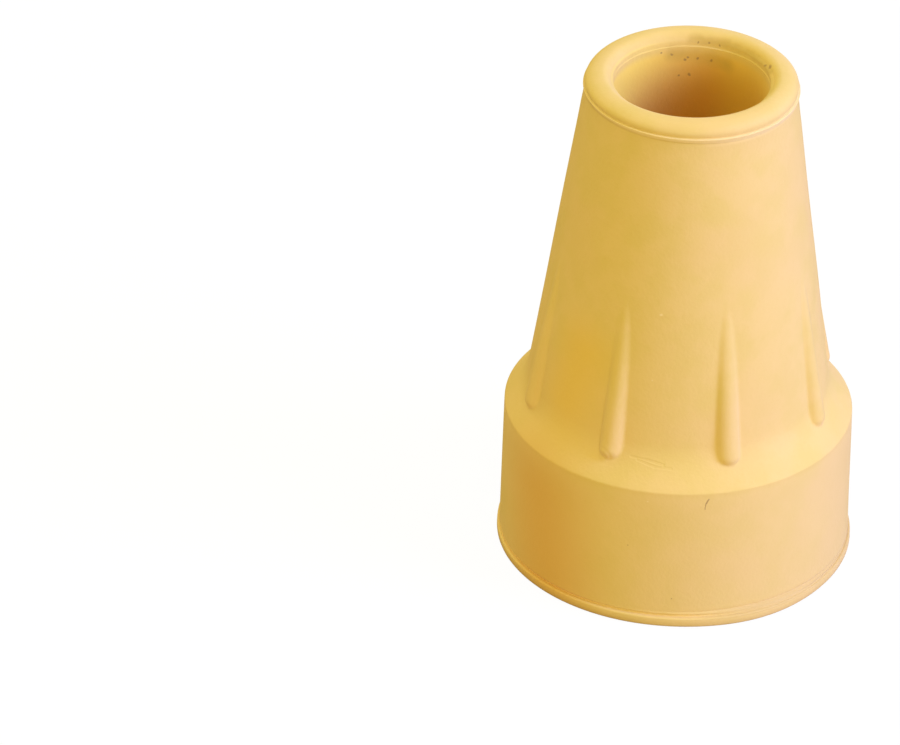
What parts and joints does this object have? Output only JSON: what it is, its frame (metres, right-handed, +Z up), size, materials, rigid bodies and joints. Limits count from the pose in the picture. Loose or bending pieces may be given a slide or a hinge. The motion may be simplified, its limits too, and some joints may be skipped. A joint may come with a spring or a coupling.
{
  "type": "rubber cane tip",
  "caption": "Moulded rubber foot for a cane or crutch, with a tapering ribbed neck, a beaded socket for the shaft and a ringed tread.",
  "frame": {"origin": "centre of the tread, on the surface that the tip stands on", "axes": "+Z up along the socket and out of its mouth; the ribs' pattern has no front, so +X is only the picture's right"},
  "size_m": [0.044, 0.044, 0.0655],
  "materials": {
    "rubber": "matt, slightly translucent natural rubber as it leaves the mould"
  },
  "bodies": {
    "root": {"tip": "rubber"}
  },
  "joints": []
}
